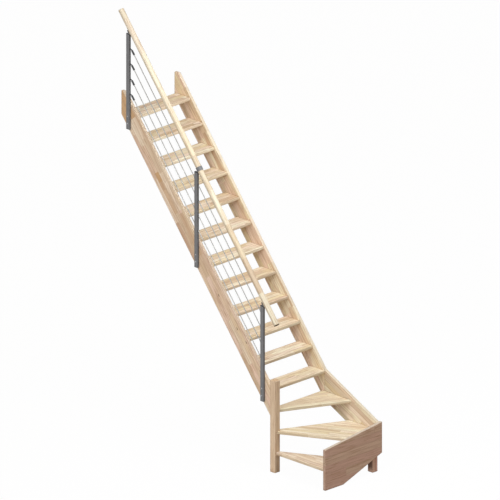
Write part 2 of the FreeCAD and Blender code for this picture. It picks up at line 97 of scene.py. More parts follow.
class Wiring:
    """Short calls that add and join the nodes of one tree."""

    def __init__(self, tree):
        self.tree = tree

    def feed(self, socket, value):
        if isinstance(value, bpy.types.NodeSocket):
            self.tree.links.new(value, socket)
        else:
            socket.default_value = value

    def node(self, kind, inputs=None, **settings):
        item = self.tree.nodes.new(kind)
        for name, value in settings.items():
            setattr(item, name, value)
        for name, value in (inputs or {}).items():
            self.feed(item.inputs[name], value)
        return item

    def math(self, operation, *values, clamp=False):
        item = self.node("ShaderNodeMath", operation=operation, use_clamp=clamp)
        for socket, value in zip(item.inputs, values):
            self.feed(socket, value)
        return item.outputs[0]

    def vector(self, operation, *values):
        item = self.node("ShaderNodeVectorMath", operation=operation)
        for socket, value in zip(item.inputs, values):
            self.feed(socket, value)
        return item.outputs["Value"] if operation == "DOT_PRODUCT" else item.outputs["Vector"]

    def scale(self, vector, factor):
        item = self.node("ShaderNodeVectorMath", {"Vector": vector, "Scale": factor}, operation="SCALE")
        return item.outputs["Vector"]

    def join(self, x, y, z):
        return self.node("ShaderNodeCombineXYZ", {"X": x, "Y": y, "Z": z}).outputs[0]

    def split(self, vector):
        return self.node("ShaderNodeSeparateXYZ", {"Vector": vector}).outputs

    def ramp(self, value, low, high, to_low=0.0, to_high=1.0):
        """Smooth change from to_low to to_high while a value goes from low to high."""
        item = self.node("ShaderNodeMapRange", {
            "Value": value, "From Min": low, "From Max": high, "To Min": to_low, "To Max": to_high,
        }, interpolation_type="SMOOTHSTEP")
        return item.outputs["Result"]

    def mix(self, factor, first, second, blend="MIX"):
        item = self.node("ShaderNodeMix", data_type="RGBA", blend_type=blend)
        for index, value in zip(MIX_INPUTS, (factor, first, second)):
            self.feed(item.inputs[index], value)
        return item.outputs[MIX_RESULT]

    def cover(self, mask, most, first, second):
        """Second colour over the first, by a mask and at most by a share."""
        return self.mix(self.math("MULTIPLY", mask, most), first, second)

    def tinted(self, base, tint):
        return self.mix(1.0, base, tint, "MULTIPLY")

    def noise(self, vector, detail, roughness=0.5):
        item = self.node("ShaderNodeTexNoise", {
            "Vector": vector, "Scale": 1.0, "Detail": detail, "Roughness": roughness,
        })
        return item.outputs["Fac"]

    def chance(self, vector):
        """Random value and colour, the same all over one cell."""
        return self.node("ShaderNodeTexWhiteNoise", {"Vector": vector}).outputs

    def place(self):
        """Place on the stair, in its own frame."""
        return self.node("ShaderNodeTexCoord").outputs["Object"]

    def facing(self):
        """Way that the surface looks."""
        return self.node("ShaderNodeNewGeometry").outputs["Normal"]

    def effect(self, group, **inputs):
        """Place a shared effect, its inputs given by name with _ for a space."""
        named = {name.replace("_", " "): value for name, value in inputs.items()}
        return self.node("ShaderNodeGroup", named, node_tree=group).outputs


def shared_effect(name, inputs, outputs, wire):
    """Node group that several materials use: wire() returns a socket for each output."""
    tree = bpy.data.node_groups.new(name, "ShaderNodeTree")
    for label, (kind, default) in inputs.items():
        socket = tree.interface.new_socket(name=label, in_out="INPUT", socket_type="NodeSocket" + kind)
        socket.default_value = default
    for label, kind in outputs.items():
        tree.interface.new_socket(name=label, in_out="OUTPUT", socket_type="NodeSocket" + kind)
    wiring = Wiring(tree)
    entry = wiring.node("NodeGroupInput")
    leave = wiring.node("NodeGroupOutput")
    for label, socket in wire(wiring, entry.outputs).items():
        wiring.feed(leave.inputs[label], socket)
    return tree


def colour(red, green, blue):
    """Opaque colour, as a socket takes it."""
    return (red, green, blue, 1.0)


WHITE = colour(1, 1, 1)

# Colours of the wood, and of painted shade on arrises, treads' fronts and the leg's side, and painted
# highlights on nosings and edges
CREAM = colour(0.93, 0.865, 0.675)
GOLD = colour(0.80, 0.68, 0.44)
ROSE = colour(0.86, 0.66, 0.55)
BROWN = colour(0.50, 0.32, 0.188)
PORE_BROWN = colour(0.30, 0.18, 0.10)
GLUE_BROWN = colour(0.40, 0.26, 0.16)
KNOT_BROWN = colour(0.20, 0.11, 0.06)
ARRIS_SHADE_BROWN = colour(0.32, 0.20, 0.125)
BROWN_OF_PAINTED_SHADE = colour(0.055, 0.025, 0.016)
NOSING_HIGHLIGHT_CREAM = colour(1.0, 0.96, 0.80)
EDGE_HIGHLIGHT_CREAM = colour(0.81, 0.74, 0.60)
FRONT_EDGE = colour(0.60, 0.54, 0.45)
TREAD_SHADE_EDGE = colour(0.605, 0.52, 0.38)
LEFT_HIGHLIGHT_EDGE = colour(0.87, 0.745, 0.59)
PALE_PLANK = colour(0.95, 0.83, 0.67)
TAN_PLANK = colour(0.69, 0.51, 0.345)
ORANGE_PLANK = colour(0.655, 0.425, 0.225)

# Darkening of end grain
END_SHADE = colour(0.76, 0.71, 0.67)
FRONT_END_SHADE = colour(0.76, 0.78, 0.77)
NEWEL_END_SHADE = colour(0.86, 0.79, 0.71)
# Painted shade on the rail's ends
RAIL_END_PAINTED_SHADE = colour(0.085, 0.048, 0.014)

# Shared effect: where a point lies on its board, and how squarely an end or an edge looks its own way
END_FACING = (0.8, 0.97)
EDGE_FACING = (0.6, 0.9)


def wire_board_axes(w, given):
    """Place on a board, measured along its grain, across its strips and through its thickness."""
    place = w.place()
    through = w.vector("CROSS_PRODUCT", given["Along"], given["Across"])
    sides = [w.vector("DOT_PRODUCT", place, side) for side in (given["Along"], given["Across"], through)]
    normal = w.facing()
    end = w.math("ABSOLUTE", w.vector("DOT_PRODUCT", normal, given["Along"]))
    edge = w.math("ABSOLUTE", w.vector("DOT_PRODUCT", normal, given["Across"]))
    return {
        "Place": w.join(*sides),
        "End Grain": w.ramp(end, *END_FACING),
        "Edge": w.ramp(edge, *EDGE_FACING),
    }


BOARD_AXES = shared_effect(
    "board_axes",
    {"Along": ("Vector", (1, 0, 0)), "Across": ("Vector", (0, 1, 0))},
    {"Place": "Vector", "End Grain": "Float", "Edge": "Float"}, wire_board_axes)

# Shared effect: glued strips. A board's stretch starts a share of the spacing below it, so no border cuts it
BELOW_BOARD = 0.35
HALF = 0.5
FINGER_WIDTH = 0.004
FINGER_SLOPE = 2.4

# Random pieces: boards from one draw to the next, seed and longest shift of a strip's joints, shift of fibres
DRAW_STEP = 31.0
JOINT_SEED = 3.7
JOINT_SHIFT = 9.0
FIBRE_SHIFT = 13.0

# Random tones: the draws between which a piece goes from cream to gold, to rose and to brown
GOLD_DRAW = (0.1, 0.95)
ROSE_DRAW = (0.35, 0.85)
BROWN_DRAW = (0.72, 1.0)
BROWN_MOST = 0.50

# Dark lines at a strip's edges and a piece's ends: full within the first distance, gone by the second
GLUE_LINE = (0.0002, 0.0008)
GLUE_DARKNESS = 0.60
SHOULDER_LINE = (0.0, 0.006)
SHOULDER_DARKNESS = 0.30
JOINT_LINE = (0.0002, 0.0009)


def wire_glued_strips(w, given):
    """Board glued up from strips, each strip finger-jointed from short pieces of different tone."""
    along, across, through = w.split(given["Place"])
    board = w.math("FLOOR", w.math("ADD", w.math("DIVIDE", through, given["Board Spacing"]), BELOW_BOARD))
    board = w.math("ADD", board, w.math("MULTIPLY", given["Draw"], DRAW_STEP))
    strips = w.math("ADD", w.math("DIVIDE", across, given["Strip Width"]), given["Strip Shift"])
    strip = w.math("FLOOR", strips)
    into_strip = w.math("SUBTRACT", strips, strip)

    start = w.chance(w.join(strip, board, JOINT_SEED))["Value"]
    fingers = w.math("MULTIPLY", w.math("PINGPONG", across, FINGER_WIDTH), FINGER_SLOPE)
    pieces = w.math("DIVIDE", w.math("ADD", along, fingers), given["Piece Length"])
    pieces = w.math("ADD", pieces, w.math("MULTIPLY", start, JOINT_SHIFT))
    piece = w.math("FLOOR", pieces)
    into_piece = w.math("SUBTRACT", pieces, piece)

    random = w.chance(w.join(strip, piece, board))
    draws = w.split(random["Color"])
    half_spread = w.math("MULTIPLY", given["Spread"], HALF)
    golden = w.ramp(random["Value"], *GOLD_DRAW, w.math("SUBTRACT", HALF, half_spread),
                    w.math("ADD", HALF, half_spread))
    rosy = w.ramp(draws["Y"], *ROSE_DRAW, given["Least Rose"], given["Most Rose"])
    browned = w.ramp(draws["Z"], *BROWN_DRAW, 0.0, w.math("MULTIPLY", given["Spread"], BROWN_MOST))
    tone = w.mix(browned, w.mix(rosy, w.mix(golden, CREAM, GOLD), ROSE), BROWN)

    strip_edge = w.math("MULTIPLY", w.math("PINGPONG", into_strip, HALF), given["Strip Width"])
    piece_edge = w.math("MULTIPLY", w.math("PINGPONG", into_piece, HALF), given["Piece Length"])
    glue = w.ramp(strip_edge, *GLUE_LINE, GLUE_DARKNESS, 0.0)
    shoulder = w.ramp(strip_edge, *SHOULDER_LINE, SHOULDER_DARKNESS, 0.0)
    joint = w.ramp(piece_edge, *JOINT_LINE, 1.0, 0.0)
    return {
        "Colour": tone,
        "Seam": w.math("MAXIMUM", w.math("MAXIMUM", glue, shoulder), joint),
        "Fibre Place": w.vector("ADD", given["Place"], w.scale(random["Color"], FIBRE_SHIFT)),
    }


GLUED_STRIPS = shared_effect(
    "glued_strips",
    {"Place": ("Vector", (0, 0, 0)), "Board Spacing": ("Float", 0.3), "Strip Width": ("Float", 0.042),
     "Strip Shift": ("Float", 0.0), "Piece Length": ("Float", 0.42), "Least Rose": ("Float", 0.05),
     "Most Rose": ("Float", 0.5), "Spread": ("Float", 1.0), "Draw": ("Float", 0.0)},
    {"Colour": "Color", "Seam": "Float", "Fibre Place": "Vector"}, wire_glued_strips)

# Shared effect: one piece of wood in a glued-up board
PLANK_SHARE = 0.90


def wire_single_plank(w, given):
    """Piece that lies between two places along the board and two across it."""
    sides = w.split(given["Place"])
    inside = PLANK_SHARE
    for side, least, most in (("X", "Start", "Stop"), ("Y", "Low", "High")):
        beyond = w.math("GREATER_THAN", sides[side], given[least])
        before = w.math("LESS_THAN", sides[side], given[most])
        inside = w.math("MULTIPLY", inside, w.math("MULTIPLY", beyond, before))
    return {"Mask": inside}


SINGLE_PLANK = shared_effect(
    "single_plank",
    {"Place": ("Vector", (0, 0, 0)), "Start": ("Float", 0.0), "Stop": ("Float", 0.4), "Low": ("Float", 0.0),
     "High": ("Float", 0.05)},
    {"Mask": "Float"}, wire_single_plank)

# Shared effect: grain. Each spot has its length along the grain, its width across it and its detail
WAVER_SPOT = (0.35, 0.030, 1.0)
CLOUD_SPOT = (0.16, 0.018, 2.0)
STREAK_SPOT = (0.26, 0.0070, 2.0)
FIBRE_SPOT = (0.045, 0.0011, 3.0)
PORE_SPOT = (0.010, 0.0006, 0.0)
MARK_SPOT = (0.055, 0.0065, 1.0)
FIBRE_ROUGHNESS = 0.65

# Growth bands: how fast they follow each other across and through a board, and how far they waver
BAND_ACROSS = 0.0075
BAND_THROUGH = 0.016
BAND_WAVER = 9.0

# Where spots begin and where they are full, and the most brown or darkness that they bring
GROWTH_BROWN = 0.16
STREAK_LIMITS = (0.54, 0.68)
STREAK_BROWN = 0.46
CLOUD_LIMITS = (0.50, 0.74)
CLOUD_BROWN = 0.42
FIBRE_LIMITS = (0.50, 0.85)
FIBRE_BROWN = 0.26
PORE_LIMITS = (0.64, 0.76)
PORE_DARKNESS = 0.30
MARK_LIMITS = (0.725, 0.80)
MARK_DARKNESS = 0.60
SEAM_DARKNESS = 0.50

# Relief of the grain, as shares of its depth
FIBRE_HEIGHT = 0.6
PORE_HEIGHT = -0.8
SEAM_HEIGHT = -0.5


def wire_hardwood_grain(w, given):
    """Grain of one piece of wood: growth bands, fine fibres, short pores and a few dark marks."""
    along, across, through = w.split(given["Fibre Place"])

    def spots(size, roughness=HALF):
        length, width, detail = size
        stretched = w.join(w.math("DIVIDE", along, length), w.math("DIVIDE", across, width),
                           w.math("DIVIDE", through, width))
        return w.noise(stretched, detail, roughness)

    bands = w.math("ADD", w.math("DIVIDE", across, BAND_ACROSS), w.math("DIVIDE", through, BAND_THROUGH))
    bands = w.math("ADD", bands, w.math("MULTIPLY", spots(WAVER_SPOT), BAND_WAVER))
    growth = w.math("MULTIPLY_ADD", w.math("SINE", bands), HALF, HALF)
    fibre = spots(FIBRE_SPOT, FIBRE_ROUGHNESS)
    pore = w.ramp(spots(PORE_SPOT), *PORE_LIMITS)
    mark = w.ramp(spots(MARK_SPOT), *MARK_LIMITS)

    base = w.cover(growth, w.math("MULTIPLY", given["Figured"], GROWTH_BROWN), given["Colour"], BROWN)
    for spot, limits, brown in ((spots(STREAK_SPOT), STREAK_LIMITS, STREAK_BROWN),
                                (spots(CLOUD_SPOT), CLOUD_LIMITS, CLOUD_BROWN),
                                (fibre, FIBRE_LIMITS, FIBRE_BROWN)):
        most = w.math("MULTIPLY", given["Figured"], brown)
        base = w.mix(w.ramp(spot, *limits, 0.0, most), base, BROWN)
    base = w.cover(pore, PORE_DARKNESS, base, PORE_BROWN)
    base = w.cover(mark, MARK_DARKNESS, base, PORE_BROWN)
    base = w.cover(given["Seam"], SEAM_DARKNESS, base, GLUE_BROWN)

    height = w.math("MULTIPLY", fibre, FIBRE_HEIGHT)
    height = w.math("MULTIPLY_ADD", pore, PORE_HEIGHT, height)
    height = w.math("MULTIPLY_ADD", given["Seam"], SEAM_HEIGHT, height)
    return {"Colour": w.tinted(base, given["Board Tone"]), "Fibre": fibre, "Height": height}


HARDWOOD_GRAIN = shared_effect(
    "hardwood_grain",
    {"Fibre Place": ("Vector", (0, 0, 0)), "Colour": ("Color", CREAM), "Board Tone": ("Color", WHITE),
     "Figured": ("Float", 1.0), "Seam": ("Float", 0.0)},
    {"Colour": "Color", "Fibre": "Float", "Height": "Float"}, wire_hardwood_grain)

# Shared effect: painted shade on a board's eased arrises and inner corners, and a painted highlight on its
# nosings
ARRIS_RADIUS = 0.009
ARRIS_TURN = (0.01, 0.20)
CORNER_REACH = 0.045
CORNER_OPENNESS = (0.35, 0.95)
WEAR_SAMPLES = 8

# How far up and forward an arris looks, where it still takes painted shade and where it is a nosing with a
# painted highlight
FORWARD_SHARE = 0.8
DARK_ARRIS = (-0.2, 0.6)
PALE_NOSING = (0.6, 1.2)
ARRIS_MOST = 0.85
NOSING_MOST = 0.90
CORNER_MOST = 0.06


def wire_board_edge_light(w, given):
    """Painted shade on arrises that look down or back and in inner corners; painted highlight on nosings."""
    eased = w.node("ShaderNodeBevel", {"Radius": ARRIS_RADIUS}, samples=WEAR_SAMPLES).outputs["Normal"]
    turned_away = w.math("SUBTRACT", 1.0, w.vector("DOT_PRODUCT", eased, w.facing()))
    rounded = w.ramp(turned_away, *ARRIS_TURN)
    way = w.split(eased)
    looks_up_forward = w.math("SUBTRACT", way["Z"], w.math("MULTIPLY", way["Y"], FORWARD_SHARE))
    arris = w.math("MULTIPLY", rounded, w.ramp(looks_up_forward, *DARK_ARRIS, 1.0, 0.0))
    nosing = w.math("MULTIPLY", rounded, w.ramp(looks_up_forward, *PALE_NOSING))
    openness = w.node("ShaderNodeAmbientOcclusion", {"Distance": CORNER_REACH}, samples=WEAR_SAMPLES)
    corner = w.ramp(openness.outputs["AO"], *CORNER_OPENNESS, 1.0, 0.0)

    # Painted shade on arrises, a painted highlight on nosings and painted shade in corners
    base = w.cover(arris, ARRIS_MOST, given["Colour"], w.tinted(ARRIS_SHADE_BROWN, given["Board Tone"]))
    base = w.cover(nosing, NOSING_MOST, base, NOSING_HIGHLIGHT_CREAM)
    base = w.cover(corner, CORNER_MOST, base, w.tinted(PORE_BROWN, given["Board Tone"]))
    return {"Colour": base, "Eased": eased}


BOARD_EDGE_LIGHT = shared_effect(
    "board_edge_light",
    {"Colour": ("Color", CREAM), "Board Tone": ("Color", WHITE)},
    {"Colour": "Color", "Eased": "Vector"}, wire_board_edge_light)

# Shared effect: sprayed coat. Patches and orange peel to a metre, and the limits of a patch's tone and gloss
PATCH_SCALE = 24.0
PEEL_SCALE = 1100.0
TONE_PATCH = (0.35, 0.7)
GLOSS_PATCH = (0.3, 0.7)


def wire_sprayed_coat(w, given):
    """Uneven tone and gloss and a fine orange-peel surface, as on a sprayed coating."""
    place = w.place()
    patch = w.noise(w.scale(place, PATCH_SCALE), detail=3.0)
    return {
        "Colour": w.mix(w.ramp(patch, *TONE_PATCH), given["Light"], given["Dark"]),
        "Roughness": w.ramp(patch, *GLOSS_PATCH, given["Smoothest"], given["Roughest"]),
        "Peel": w.noise(w.scale(place, PEEL_SCALE), detail=1.0),
    }


SPRAYED_COAT = shared_effect(
    "sprayed_coat",
    {"Light": ("Color", WHITE), "Dark": ("Color", WHITE), "Smoothest": ("Float", 0.4),
     "Roughest": ("Float", 0.5)},
    {"Colour": "Color", "Roughness": "Float", "Peel": "Float"}, wire_sprayed_coat)


# Materials
def new_material(name):
    """Material with an empty tree, its wiring and its Principled shader."""
    material = bpy.data.materials.new(name)
    material.use_nodes = True
    material.node_tree.nodes.clear()
    wiring = Wiring(material.node_tree)
    shader = wiring.node("ShaderNodeBsdfPrincipled")
    wiring.node("ShaderNodeOutputMaterial", {"Surface": shader.outputs["BSDF"]})
    return material, wiring, shader


def relief(w, shader, height, strength, depth, **normal):
    """Fine relief on a surface, on top of its normal where one is given."""
    bump = w.node("ShaderNodeBump", {"Height": height, "Strength": strength, "Distance": depth, **normal})
    w.feed(shader.inputs["Normal"], bump.outputs["Normal"])


def dress(names, material):
    """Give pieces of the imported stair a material."""
    for name in names:
        slots = nodes[name].data.materials
        slots.clear()
        slots.append(material)


# Small knots on the left stringer's outer face
LEFT_KNOTS = [Vector((0, 0.444, 1.190)), Vector((0, 0.669, 1.437)), Vector((0, 0.334, 1.094))]
KNOT_HALF_LENGTH = 0.018
KNOT_HALF_WIDTH = 0.006
KNOT_RIM = (0.25, 1.1)
KNOT_DARKNESS = 0.85

# Pieces that stand out on the left stringer: from and to along its pitch and across it, and their wood
LEFT_PLANKS = [
    (2.347, 2.710, 0.3703, 0.4203, PALE_PLANK),
    (2.338, 2.734, 0.3203, 0.3703, TAN_PLANK),
    (2.645, 2.734, 0.3203, 0.3703, ORANGE_PLANK),
    (1.920, 2.320, 0.3703, 0.4203, TAN_PLANK),
    (3.240, 3.700, 0.2703, 0.4203, ORANGE_PLANK),
]

# Winding treads, each with its tone, its least and most rose, and its spread of tones
WINDERS = {
    "winder_tread_1": ((1.045, 1.065, 1.115), (0.30, 0.60), 0.8),
    "winder_tread_2": ((1.04, 1.08, 1.10), (0.04, 0.4), 0.9),
    "winder_tread_3": ((1.07, 1.14, 1.17), (0.02, 0.3), 0.7),
}

# Wood in one piece: lengths and widths of strips that are larger than the part
UNJOINTED = 6.0
WHOLE_SECTION = 0.2
WHOLE_RAIL = 0.4

# Painted shade on the rail's lower end, in a stretch that is wider than the rail
SHADED_END_LENGTH = 0.006
PAST_RAIL = 10.0

# Painted shade on the corner leg's side under the lowest step: how squarely it looks, and its shade from the
# floor up
INWARD_FACING = (-0.95, -0.7)
HEIGHTS_OF_PAINTED_SHADE = (0.0, 0.06)
PAINTED_SHADE_FLOOR_SHARE = 0.3

# Sanded surface
FIBRE_GLOSS = (0.2, 0.8)
SANDED_ROUGHNESS = (0.46, 0.60)
GRAIN_STRENGTH = 0.25
GRAIN_DEPTH = 0.0006


def knot_mask(w, place, along, across):
    """Small dark fleck drawn out along the grain."""
    sides = w.split(place)
    length = w.math("DIVIDE", w.math("SUBTRACT", sides["X"], along), KNOT_HALF_LENGTH)
    width = w.math("DIVIDE", w.math("SUBTRACT", sides["Y"], across), KNOT_HALF_WIDTH)
    reach = w.math("ADD", w.math("MULTIPLY", length, length), w.math("MULTIPLY", width, width))
    return w.ramp(reach, *KNOT_RIM, KNOT_DARKNESS, 0.0)


def painted_shade_of_side(w):
    """Painted shade on the side that faces the open flight under the lowest step: dark above, paler towards
    the floor.
    """
    inward = w.ramp(w.split(w.facing())["X"], *INWARD_FACING, 1.0, 0.0)
    raised = w.ramp(w.split(w.place())["Z"], *HEIGHTS_OF_PAINTED_SHADE, PAINTED_SHADE_FLOOR_SHARE, 1.0)
    return w.math("MULTIPLY", inward, raised)


def wood(name, along, across, board_spacing=0.3, strip_width=0.042, strip_shift=0.0, piece_length=0.42,
         tone=(1.0, 1.0, 1.0), rose=(0.05, 0.5), spread=1.0, pale_edge=0.0, edge=EDGE_HIGHLIGHT_CREAM,
         end_shade=END_SHADE, knots=(), planks=(), painted_shade_share=0.0, figured=1.0, gloss=0.05, draw=0):
    """Sanded, glued-up hardwood with its grain along one direction. Its tone tints the whole board."""
    material, w, shader = new_material(name)
    board_tone = colour(*tone)
    least_rose, most_rose = rose
    axes = w.effect(BOARD_AXES, Along=along, Across=across)
    strips = w.effect(GLUED_STRIPS, Place=axes["Place"], Board_Spacing=board_spacing, Strip_Width=strip_width,
                      Strip_Shift=strip_shift, Piece_Length=piece_length, Least_Rose=least_rose,
                      Most_Rose=most_rose, Spread=spread, Draw=draw)
    base = strips["Colour"]
    for start, stop, low, high, shade in planks:
        plank = w.effect(SINGLE_PLANK, Place=axes["Place"], Start=start, Stop=stop, Low=low, High=high)
        base = w.mix(plank["Mask"], base, shade)
    grain = w.effect(HARDWOOD_GRAIN, Fibre_Place=strips["Fibre Place"], Colour=base, Board_Tone=board_tone,
                     Figured=figured, Seam=strips["Seam"])
    # Faces that look across the strips take the edge colour: a painted highlight on the stringers' and wall
    # board's edges, painted shade on the treads' fronts and backs
    base = w.cover(axes["Edge"], pale_edge, grain["Colour"], edge)
    for knot in knots:
        base = w.mix(knot_mask(w, axes["Place"], along.dot(knot), across.dot(knot)), base, KNOT_BROWN)
    # Painted shade on lower and back arrises and in inner corners, and a painted highlight on nosings
    edge_light = w.effect(BOARD_EDGE_LIGHT, Colour=base, Board_Tone=board_tone)
    base = edge_light["Colour"]
    # Painted shade on the corner leg's side under the lowest step
    if painted_shade_share:
        base = w.cover(painted_shade_of_side(w), painted_shade_share, base, BROWN_OF_PAINTED_SHADE)
    w.feed(shader.inputs["Base Color"], w.mix(axes["End Grain"], base, end_shade, "MULTIPLY"))
    w.feed(shader.inputs["Roughness"], w.ramp(grain["Fibre"], *FIBRE_GLOSS, *SANDED_ROUGHNESS))
    shader.inputs["Specular IOR Level"].default_value = gloss
    relief(w, shader, grain["Height"], GRAIN_STRENGTH, GRAIN_DEPTH, Normal=edge_light["Eased"])
    return material


def tread_looks():
    """Straight treads with the grain across the flight, winders with the grain along their nosings."""
    dress(TREADS, wood("tread_wood", ACROSS_FLIGHT, UP_FLIGHT, RISE, tone=(1.08, 1.12, 1.15),
                       rose=(0.055, 0.55), pale_edge=0.5, edge=TREAD_SHADE_EDGE, figured=1.7, draw=1))
    for name, (tone, rose, spread) in WINDERS.items():
        along = edge_direction(name, TOWARDS_CLIMBER)
        dress([name], wood(name + "_wood", along, PLUMB.cross(along), RISE, tone=tone, rose=rose,
                           spread=spread, pale_edge=0.4, edge=TREAD_SHADE_EDGE, figured=1.5, draw=9))


def board_looks():
    """Stringers with the grain up the pitch, and the two boards round the winders."""
    dress(["left_stringer"],
          wood("left_stringer_wood", PITCH, PITCH_SQUARE, strip_width=0.050, strip_shift=0.594,
               tone=(1.05, 1.04, 1.03), rose=(0.35, 0.85), spread=1.2, pale_edge=0.6, edge=LEFT_HIGHLIGHT_EDGE,
               knots=LEFT_KNOTS, planks=LEFT_PLANKS, figured=1.5, draw=4))
    dress(["right_stringer"],
          wood("right_stringer_wood", PITCH, PITCH_SQUARE, tone=(1.07, 1.07, 1.06), rose=(0.08, 0.8),
               spread=1.5, pale_edge=0.65, figured=1.5, draw=1))
    wall_slope = edge_direction("winder_wall_stringer", PLUMB)
    dress(["winder_wall_stringer"],
          wood("wall_board_wood", wall_slope, ACROSS_FLIGHT.cross(wall_slope), tone=(0.88, 0.89, 0.90),
               pale_edge=0.65, figured=1.3, draw=9))
    dress(["winder_front_stringer"],
          wood("front_board_wood", ACROSS_FLIGHT, PLUMB, strip_width=0.075, piece_length=UNJOINTED,
               tone=(0.845, 0.745, 0.745), rose=(0.38, 0.88), spread=0.3, pale_edge=0.8, edge=FRONT_EDGE,
               end_shade=FRONT_END_SHADE, figured=1.15))


def upright_looks():
    """Newel and corner leg, each from one upright piece."""
    dress(["newel_post"],
          wood("newel_wood", PLUMB, ACROSS_FLIGHT, strip_width=WHOLE_SECTION, strip_shift=HALF,
               piece_length=UNJOINTED, tone=(0.95, 0.90, 0.915), rose=(0.04, 0.4), spread=0.6,
               end_shade=NEWEL_END_SHADE))
    dress(["corner_leg"],
          wood("leg_wood", PLUMB, ACROSS_FLIGHT, strip_width=WHOLE_SECTION, piece_length=UNJOINTED,
               tone=(1.05, 0.87, 0.92), rose=(0.08, 0.8), spread=0.5, painted_shade_share=0.80))


def rail_looks():
    """Round rail, finger-jointed along its length, with painted shade on its ends."""
    foot = min(PITCH.dot(vertex.co) for vertex in nodes["lower_handrail"].data.vertices)
    shaded_end_band = [(foot - SHADED_END_LENGTH, foot + SHADED_END_LENGTH, -PAST_RAIL, PAST_RAIL, RAIL_END_PAINTED_SHADE)]
    dress(RAILS, wood("rail_wood", PITCH, PITCH_SQUARE, strip_width=WHOLE_RAIL, strip_shift=0.37,
                      piece_length=0.33, tone=(0.91, 0.94, 0.985), rose=(0.03, 0.3), spread=0.7,
                      end_shade=RAIL_END_PAINTED_SHADE, planks=shaded_end_band, gloss=0.0, draw=4))


# Metals: a coat or a steel goes from its first tone to its second, and steel is greyer at its rim
POST_GREY = (colour(0.228, 0.236, 0.248), colour(0.205, 0.213, 0.225))
HOLDER_BLACK = (colour(0.050, 0.052, 0.055), colour(0.040, 0.042, 0.045))
ROD_GREY = (colour(0.312, 0.306, 0.292), colour(0.262, 0.257, 0.245))
SCREW_GREY = (colour(0.50, 0.50, 0.51), colour(0.42, 0.42, 0.43))
STEEL_RIM = colour(0.45, 0.43, 0.40)

# Brackets: one grey, over a black plastic cap that stands this high above its post
BRACKET_GREY = (colour(0.160, 0.162, 0.168), colour(0.160, 0.162, 0.168))
CAP_BLACK = colour(0.012, 0.012, 0.013)
CAP_HEIGHT = 0.0062

# Tubes' narrow sides, darker than their wide ones with painted shade
NARROW_FACING = (0.6, 0.9)
NARROW_PAINTED_SHADE = colour(0.78, 0.78, 0.78)

# Relief of a coat's orange peel, and drawn steel's lines
PEEL_STRENGTH = 0.18
PEEL_DEPTH = 0.0004
LINE_TONES = (0.3, 0.8)
LINE_GLOSS = (0.2, 0.8)
LINE_STRENGTH = 0.1
LINE_DEPTH = 0.0003


def sprayed_material(name, tones, roughness, gloss):
    """Material with a sprayed coat, its wiring, its shader and the coat's colour."""
    material, w, shader = new_material(name)
    light, dark = tones
    smoothest, roughest = roughness
    coat = w.effect(SPRAYED_COAT, Light=light, Dark=dark, Smoothest=smoothest, Roughest=roughest)
    w.feed(shader.inputs["Base Color"], coat["Colour"])
    w.feed(shader.inputs["Roughness"], coat["Roughness"])
    shader.inputs["Specular IOR Level"].default_value = gloss
    relief(w, shader, coat["Peel"], PEEL_STRENGTH, PEEL_DEPTH)
    return material, w, shader, coat["Colour"]


def post_coating():
    """Grey coat of the posts, with painted shade on the tubes' narrow sides."""
    material, w, shader, coat = sprayed_material("post_coating", POST_GREY, roughness=(0.45, 0.56),
                                                 gloss=0.05)
    narrow = w.ramp(w.math("ABSOLUTE", w.split(w.facing())["Y"]), *NARROW_FACING)
    w.feed(shader.inputs["Base Color"], w.mix(narrow, coat, NARROW_PAINTED_SHADE, "MULTIPLY"))
    return material


def holder_coating():
    """Black coat of the rod holders and bushings."""
    return sprayed_material("holder_coating", HOLDER_BLACK, roughness=(0.33, 0.44), gloss=0.35)[0]


def bracket_coating(name, cap_top):
    """Grey coated bracket on a black plastic cap."""
    material, w, shader, coat = sprayed_material(name, BRACKET_GREY, roughness=(0.38, 0.50), gloss=0.25)
    above = w.math("GREATER_THAN", w.split(w.place())["Z"], cap_top)
    w.feed(shader.inputs["Base Color"], w.mix(above, CAP_BLACK, coat))
    return material


def drawn_steel(name, tones, roughness):
    """Bright steel with fine lines along the bar."""
    material, w, shader = new_material(name)
    light, dark = tones
    axes = w.effect(BOARD_AXES, Along=PITCH, Across=PITCH_SQUARE)
    lines = w.effect(HARDWOOD_GRAIN, Fibre_Place=axes["Place"])["Fibre"]
    w.feed(shader.inputs["Base Color"], w.mix(w.ramp(lines, *LINE_TONES), light, dark))
    w.feed(shader.inputs["Roughness"], w.ramp(lines, *LINE_GLOSS, *roughness))
    shader.inputs["Metallic"].default_value = 1.0
    shader.inputs["Specular Tint"].default_value = STEEL_RIM
    relief(w, shader, lines, LINE_STRENGTH, LINE_DEPTH)
    return material


def metal_looks():
    """Posts, brackets, rod holders and rods."""
    dress(POSTS, post_coating())
    for bracket, post in zip(BRACKETS, POSTS):
        dress([bracket], bracket_coating(bracket + "_coating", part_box(post)[1].z + CAP_HEIGHT))
    dress(HOLDERS + ["middle_rod_bushings"], holder_coating())
    dress(RODS, drawn_steel("rod_steel", ROD_GREY, roughness=(0.34, 0.48)))


# Screws that hold the posts: diameter, and heights above a post's foot
SCREW_HEAD = 0.011
SCREW_HEIGHTS = (0.053, 0.118)

# Screw head: shares of its diameter, its profile in shares of radius and height, and its recess
HEAD_HEIGHT = 0.36
HEAD_PROFILE = [(1.0, -0.1), (1.0, 0.25), (0.94, 0.6), (0.78, 0.88), (0.58, 1.0)]
HEAD_SIDES = 24
RECESS_RADIUS = 0.20
RECESS_FLOOR = 0.35
HEXAGON_SIDE = math.pi / 3


def round_point(turn, radius):
    """Point on a circle, at an angle."""
    return radius * math.cos(turn), radius * math.sin(turn)


def hexagon_point(turn, radius):
    """Point on a hexagon's outline, at an angle."""
    from_flat = (turn % HEXAGON_SIDE) - HEXAGON_SIDE / 2
    return round_point(turn, radius * math.cos(HEXAGON_SIDE / 2) / math.cos(from_flat))


def join_rings(shape, first, second):
    """Faces between two rings with the same number of points."""
    count = len(first)
    for side in range(count):
        following = (side + 1) % count
        shape.faces.new([first[side], first[following], second[following], second[side]])


